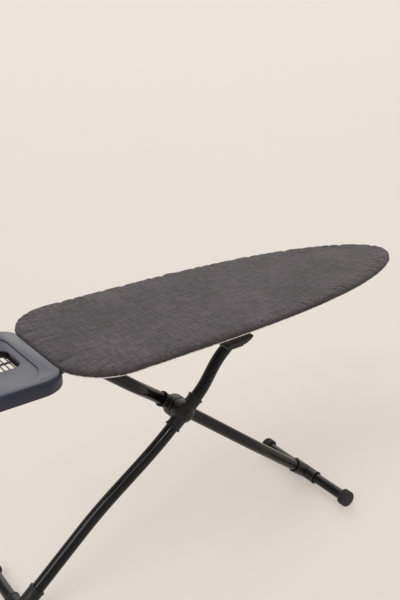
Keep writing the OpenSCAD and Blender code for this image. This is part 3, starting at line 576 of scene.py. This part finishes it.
TOP = 0.776
TAIL = -0.432
HALF_WIDTH = 0.225
TAIL_RADIUS = 0.135
TAPER_START = -0.246
TAPER_LENGTH = 1.042
NOSE_FULL = 2.89
NOSE_ROUND = 1.83
TAPER_STEPS = 400
TAIL_STEPS = 90


def deck_outline(count):
    """Even points along the deck's edge from the nose, their outward directions, and its length."""
    half = []
    for i in range(TAPER_STEPS):
        turn = math.pi / 2 * i / TAPER_STEPS
        half.append((TAPER_START + TAPER_LENGTH * math.cos(turn) ** (2 / NOSE_FULL),
                     HALF_WIDTH * math.sin(turn) ** (2 / NOSE_ROUND)))
    middle = (TAIL + TAIL_RADIUS, HALF_WIDTH - TAIL_RADIUS)
    for i in range(TAIL_STEPS + 1):
        turn = math.pi / 2 * i / TAIL_STEPS
        half.append((middle[0] - TAIL_RADIUS * math.sin(turn), middle[1] + TAIL_RADIUS * math.cos(turn)))
    loop = half + [(x, -y) for x, y in reversed(half)][:-1]
    lengths = [math.dist(loop[i], loop[(i + 1) % len(loop)]) for i in range(len(loop))]
    whole = sum(lengths)
    points = []
    i, passed = 0, 0.0
    for k in range(count):
        target = whole * k / count
        while passed + lengths[i] < target:
            passed += lengths[i]
            i += 1
        share = (target - passed) / lengths[i]
        a, b = loop[i], loop[(i + 1) % len(loop)]
        points.append((a[0] + (b[0] - a[0]) * share, a[1] + (b[1] - a[1]) * share))
    facing = []
    for k in range(count):
        a, b = points[k - 2], points[(k + 2) % count]
        length = math.dist(a, b)
        facing.append(((b[1] - a[1]) / length, -(b[0] - a[0]) / length))
    return points, facing, whole


DECK_CENTRE = 0.08


def ringed(name, count, rings, closed_by):
    """A skin of rings round the deck. A ring is (inset, height, share of the way out from the centre)."""
    points, facing = deck_outline(count)[:2]
    mesh = bpy.data.meshes.new(name)
    vertices = []
    for inset, height, share in rings:
        for (x, y), (u, v) in zip(points, facing):
            x, y = x - u * inset, y - v * inset
            vertices.append((DECK_CENTRE + (x - DECK_CENTRE) * share, y * share, TOP + height))
    faces = []
    for r in range(len(rings) - 1):
        for k in range(count):
            n = (k + 1) % count
            faces.append((r * count + k, r * count + n, (r + 1) * count + n, (r + 1) * count + k))
    for end in closed_by:
        ring = 0 if end == "first" else len(rings) - 1
        centre = len(vertices)
        vertices.append((DECK_CENTRE, 0, TOP + rings[ring][1]))
        for k in range(count):
            a, b = ring * count + k, ring * count + (k + 1) % count
            faces.append((centre, b, a) if end == "first" else (centre, a, b))
    mesh.from_pydata(vertices, [], faces)
    piece = bpy.data.objects.new(name, mesh)
    bpy.context.scene.collection.objects.link(piece)
    return piece


# Gathers: dents of uneven width and depth that the cover's drawn hem pulls into the roll and presses
# into the felt's edge, fading out on the top
GATHER_PITCH = 0.040
GATHER_DEPTH = 0.0042
EDGE_STEPS = 600
HEM_LENGTH = deck_outline(EDGE_STEPS)[2]


def gather(way):
    """Depth of the gathers at a distance along the hem, from 0 to 1."""
    swing = math.sin(2 * math.pi * way / GATHER_PITCH + 2.6 * math.sin(2 * math.pi * way / 0.21))
    spread = 0.62 + 0.38 * math.sin(2 * math.pi * way / 0.155 + 1.0)
    return max(0.0, swing - 0.1) ** 1.5 * spread


def dent(piece, fade):
    """Presses the gathers into a piece made of rings, by the given share in each ring."""
    outwards = [v.normal.copy() for v in piece.data.vertices]
    for vertex, outward in zip(piece.data.vertices, outwards):
        ring, step = divmod(vertex.index, EDGE_STEPS)
        if ring < len(fade):
            way = HEM_LENGTH * step / EDGE_STEPS
            vertex.co -= outward * GATHER_DEPTH * fade[ring] * gather(way)


# Needled felt: off-white wool mix, matt, with a matted fibre surface
felt, tree, place = start_material("needled_felt")
fibre = add(tree, "ShaderNodeTexNoise", {"Vector": place, "Scale": 240.0, "Detail": 6.0,
                                         "Distortion": 1.5}).outputs["Fac"]
finish_material(tree, Base_Color=ramp(tree, fibre, [(0.3, "#c9c3b5"), (0.7, "#dcd7ca")]), Roughness=0.95,
                Sheen_Weight=0.3, Normal=bump(tree, fibre, 0.0006, 0.8))

# Inset and height below the cover's top of each ring of the felt, which are joined from its underside
# over the edge to its top
FLAT_FROM = 0.020
FELT_BOTTOM = -0.0079
FELT_TOP = -0.0028
felt_edge = [(FLAT_FROM, FELT_BOTTOM), (0.0060, FELT_BOTTOM), (0.0058, -0.0073), (0.0062, -0.0060),
             (0.0074, -0.0049), (0.0090, -0.0037), (0.0130, -0.0031), (FLAT_FROM, FELT_TOP)]
inner = [0.9, 0.7, 0.45, 0.2]
felt_rings = [(FLAT_FROM, FELT_BOTTOM, share) for share in reversed(inner)]
felt_rings += [(inset, height, 1) for inset, height in felt_edge]
felt_rings += [(FLAT_FROM, FELT_TOP, share) for share in inner]
pad = ringed("felt_underlay", EDGE_STEPS, felt_rings, ("first", "last"))
tidy_skin(pad)
dent(pad, [0] * 6 + [0.2, 0.5, 0.95, 1, 0.95, 0.65, 0.2])
settle(pad, felt, "deck", 60)
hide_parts("underlay")

# ---------------------------------------------------------------------------
# Cover: melange cotton cut with a margin all round, drawn over the felt and
# gathered under the rim, so its rolled edge puckers, most along the hem.

CLOTH_FRAMES = 20
MOST_INWARD = 0.0004
MOST_MOVED = 0.0016

# Cotton canvas woven from charcoal and grey slub yarns: matt, soft, with short lighter and darker
# runs of yarn both ways, 2.4 mm apart. The rolled edge gets painted shade: its colour is darkened below the
# top.
cotton, tree, place = start_material("charcoal_melange_cotton")
warp = add(tree, "ShaderNodeTexNoise", {"Vector": stretched(tree, place, (26, 430, 430)), "Scale": 1.0,
                                        "Detail": 4.0, "Roughness": 0.7}).outputs["Fac"]
weft = add(tree, "ShaderNodeTexNoise", {"Vector": stretched(tree, place, (430, 30, 430)), "Scale": 1.0,
                                        "Detail": 4.0, "Roughness": 0.7}).outputs["Fac"]
yarns = add(tree, "ShaderNodeMath", {0: warp, 1: weft}, operation="ADD").outputs["Value"]
half_yarns = add(tree, "ShaderNodeMath", {0: yarns, 1: 0.5}, operation="MULTIPLY").outputs["Value"]
patches = add(tree, "ShaderNodeTexNoise", {"Vector": place, "Scale": 7.0, "Detail": 2.0}).outputs["Fac"]
shade = add(tree, "ShaderNodeMath", {0: patches, 1: 0.16, 2: half_yarns},
            operation="MULTIPLY_ADD").outputs["Value"]
weave_x = add(tree, "ShaderNodeTexWave", {"Vector": place, "Scale": 131.0, "Distortion": 1.2, "Detail": 1.0},
              bands_direction="X").outputs["Fac"]
weave_y = add(tree, "ShaderNodeTexWave", {"Vector": place, "Scale": 131.0, "Distortion": 1.2, "Detail": 1.0},
              bands_direction="Y").outputs["Fac"]
weave = add(tree, "ShaderNodeMath", {0: weave_x, 1: weave_y}, operation="MULTIPLY").outputs["Value"]
yarn_colour = ramp(tree, shade, [(0.42, "#282426"), (0.57, "#423c3f"), (0.74, "#6f666b")])
height = add(tree, "ShaderNodeSeparateXYZ", {"Vector": place}).outputs["Z"]
# Painted shade: a darker colour mixed in towards the hem, growing with the height below the cover's top
painted_edge_shade = add(tree, "ShaderNodeMapRange", {"Value": height, "From Min": 0.764, "From Max": 0.7756,
                                            "To Min": 0.62, "To Max": 0.0},
               interpolation_type="SMOOTHSTEP").outputs["Result"]
melange_and_painted_shade = add(tree, "ShaderNodeMixRGB", {"Fac": painted_edge_shade, "Color1": yarn_colour,
                                         "Color2": linear("#211c1e")}).outputs["Color"]
finish_material(tree, Base_Color=melange_and_painted_shade, Roughness=0.92, Sheen_Weight=0.12, Sheen_Roughness=0.5,
                Normal=bump(tree, weave, 0.0003, 0.45, bump(tree, yarns, 0.0003, 0.5)))

# Inset and height of each ring from the hem over the roll, then shares of the way in across the top,
# and how deep the gathers run in each ring
hem = [(0.0034, -0.0128), (0.0030, -0.0138), (0.0018, -0.0142)]
roll = [(0.0007, -0.0137), (0.0002, -0.0125), (0.0000, -0.0108), (0.0003, -0.0088), (0.0013, -0.0066),
        (0.0030, -0.0046), (0.0052, -0.0030), (0.0080, -0.0018), (0.0115, -0.0009), (0.0155, -0.0004),
        (FLAT_FROM, -0.0001)]
flat = [0.975, 0.945, 0.91, 0.87, 0.82, 0.75, 0.66, 0.55, 0.42, 0.28, 0.14]
gather_fade = [0, 0, 0.05, 0.12, 0.18, 0.2, 0.2, 0.34, 0.6, 0.85, 0.95, 0.95, 0.85, 0.72, 0.55, 0.36,
               0.2, 0.07]
cover_rings = [(inset, height, 1) for inset, height in hem + roll]
cover_rings += [(FLAT_FROM, 0.0, share) for share in flat]
cover = ringed("cotton_cover", EDGE_STEPS, cover_rings, ("last",))
tidy_skin(cover)
dent(cover, gather_fade)


def draw_tight(piece, first_free, free_end):
    """Lets the rings from first_free up to free_end grow a little, so that the rolled edge puckers."""
    before = [(v.co.copy(), v.normal.copy()) for v in piece.data.vertices]
    fixed = [i for i in range(len(before)) if not first_free <= i // EDGE_STEPS < free_end]
    held = piece.vertex_groups.new(name="held")
    held.add(fixed, 1.0, "REPLACE")
    only(piece)
    cloth = piece.modifiers.new("cloth", "CLOTH")
    cloth.settings.vertex_group_mass = "held"
    cloth.settings.quality = 6
    cloth.settings.tension_stiffness = 12
    cloth.settings.compression_stiffness = 12
    cloth.settings.bending_stiffness = 0.04
    cloth.settings.shrink_min = -0.05
    cloth.settings.effector_weights.gravity = 0
    scene = bpy.context.scene
    for frame_number in range(1, CLOTH_FRAMES + 1):
        scene.frame_set(frame_number)
    bpy.ops.object.modifier_apply(modifier=cloth.name)
    scene.frame_set(1)
    for vertex, (start, outward) in zip(piece.data.vertices, before):
        moved = vertex.co - start
        moved -= outward * min(0.0, moved.dot(outward) + MOST_INWARD)
        vertex.co = start + moved * min(1.0, MOST_MOVED / max(moved.length, 1e-9))
    piece.vertex_groups.clear()


draw_tight(cover, first_free=len(hem), free_end=len(hem + roll))
use(cover, "SOLIDIFY", thickness=0.0011, offset=-1)
settle(cover, cotton, "deck", 70)
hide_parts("cover")

# ---------------------------------------------------------------------------
# Iron tray: one shell moulded in grey-blue plastic, open below, that hooks
# round the deck's square end. A rim, a lower field and a window are moulded in.

TRAY_FROM = -0.796
TRAY_TO = -0.422
TRAY_WIDTH = 0.332
TRAY_TOP = 0.769
TRAY_HEIGHT = 0.032
TRAY_WALL = 0.003
TRAY_CORNER = 0.072
FIELD_DROP = 0.003
FIELD_MID = -0.616
WINDOW_MID = -0.606
CARRIER_Y = 0.098
CARRIER_Z = 0.7495
DECK_GAP = 0.004
BLOCK_STEPS = 360

# Heights clear below and above the tray, between which the blocks that cut it stand
BELOW_TRAY = 0.60
ABOVE_TRAY = 0.80


def rounded_block(name, length, width, corner, bottom, top, middle, edge=0.0, edge_steps=5, edge_at="top"):
    """A block with its plan's corners rounded, and where edge is given, its top or bottom edge too."""
    piece = new_piece(bpy.ops.mesh.primitive_cube_add, name, size=1, location=(middle, 0, (bottom + top) / 2))
    piece.scale = (length, width, top - bottom)
    bpy.ops.object.transform_apply(location=True, rotation=True, scale=True)
    bpy.ops.object.mode_set(mode="EDIT")
    skin = bmesh.from_edit_mesh(piece.data)
    upright = [e for e in skin.edges if abs(e.verts[0].co.z - e.verts[1].co.z) > 0.5 * (top - bottom)]
    bmesh.ops.bevel(skin, geom=upright, offset=corner, segments=18, profile=0.5, affect="EDGES")
    if edge:
        level = top if edge_at == "top" else bottom
        round_it = [e for e in skin.edges if all(abs(v.co.z - level) < 1e-5 for v in e.verts)]
        bmesh.ops.bevel(skin, geom=round_it, offset=edge, segments=edge_steps, profile=0.5, affect="EDGES")
    bmesh.update_edit_mesh(piece.data)
    bpy.ops.object.mode_set(mode="OBJECT")
    return piece


def deck_block(name, outwards, bottom, top):
    """A block with the deck's outline, grown outwards by a distance."""
    points, facing = deck_outline(BLOCK_STEPS)[:2]
    mesh = bpy.data.meshes.new(name)
    vertices = [(x + u * outwards, y + v * outwards, z) for z in (bottom, top)
                for (x, y), (u, v) in zip(points, facing)]
    faces = []
    for k in range(BLOCK_STEPS):
        n = (k + 1) % BLOCK_STEPS
        faces.append((k, n, BLOCK_STEPS + n, BLOCK_STEPS + k))
    faces += [tuple(reversed(range(BLOCK_STEPS))), tuple(range(BLOCK_STEPS, 2 * BLOCK_STEPS))]
    mesh.from_pydata(vertices, [], faces)
    piece = bpy.data.objects.new(name, mesh)
    bpy.context.scene.collection.objects.link(piece)
    return piece


# Polypropylene: dark slate blue, satin, spark-eroded grain with fine rub marks that dull it unevenly
tray_plastic, tree, place = start_material("slate_blue_polypropylene")
grain = add(tree, "ShaderNodeTexNoise", {"Vector": place, "Scale": 1500.0, "Detail": 2.0}).outputs["Fac"]
rubbed = add(tree, "ShaderNodeTexNoise", {"Vector": place, "Scale": 14.0, "Detail": 5.0}).outputs["Fac"]
sheen = add(tree, "ShaderNodeMapRange", {"Value": rubbed, "From Min": 0.3, "From Max": 0.7, "To Min": 0.28,
                                         "To Max": 0.38}).outputs["Result"]
finish_material(tree, Base_Color=ramp(tree, rubbed, [(0.3, "#252737"), (0.7, "#2b2d3f")]), Roughness=sheen,
                Specular_IOR_Level=0.4, Normal=bump(tree, grain, 0.0001, 0.35))

tray_middle = (TRAY_FROM + TRAY_TO) / 2
tray = rounded_block("iron_tray_shell", length=TRAY_TO - TRAY_FROM, width=TRAY_WIDTH, corner=TRAY_CORNER,
                     bottom=TRAY_TOP - TRAY_HEIGHT, top=TRAY_TOP, middle=tray_middle, edge=0.012)
hollow = rounded_block("hollow", length=TRAY_TO - TRAY_FROM - 2 * TRAY_WALL,
                       width=TRAY_WIDTH - 2 * TRAY_WALL, corner=TRAY_CORNER - TRAY_WALL,
                       bottom=TRAY_TOP - TRAY_HEIGHT - 0.02, top=TRAY_TOP - FIELD_DROP - TRAY_WALL,
                       middle=tray_middle, edge=0.010)
cut(hollow, deck_block("beside_deck", DECK_GAP + TRAY_WALL, BELOW_TRAY, ABOVE_TRAY))
field = rounded_block("field", length=0.292, width=0.264, corner=0.055, bottom=TRAY_TOP - FIELD_DROP,
                      top=TRAY_TOP + 0.01, middle=FIELD_MID, edge=0.0022, edge_steps=3, edge_at="bottom")
window = rounded_block("window", length=0.236, width=0.104, corner=0.024, bottom=0.70, top=ABOVE_TRAY,
                       middle=WINDOW_MID)
notches = []
for side in (-1, 1):
    notch = rounded_block("notch", length=0.060, width=0.018, corner=0.004, bottom=0.72,
                          top=CARRIER_Z + 0.0085, middle=-0.436)
    notch.data.transform(Matrix.Translation((0, side * CARRIER_Y, 0)))
    notches.append(notch)
cut(tray, deck_block("deck_gap", DECK_GAP, BELOW_TRAY, ABOVE_TRAY), hollow, field, window, *notches)
use(tray, "BEVEL", limit_method="ANGLE", angle_limit=math.radians(38), width=0.0011, segments=2,
    use_clamp_overlap=True)
posts = []
for x in (-0.746, -0.476):
    for side in (-1, 1):
        posts.append(rod("post", 0.006, (x, side * CARRIER_Y, CARRIER_Z + 0.0083),
                         (x, side * CARRIER_Y, TRAY_TOP - 0.005), 24))
tray = joined("iron_tray_shell", tray, *posts)
settle(tray, tray_plastic, "deck", 35)
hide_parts("tray_shell")
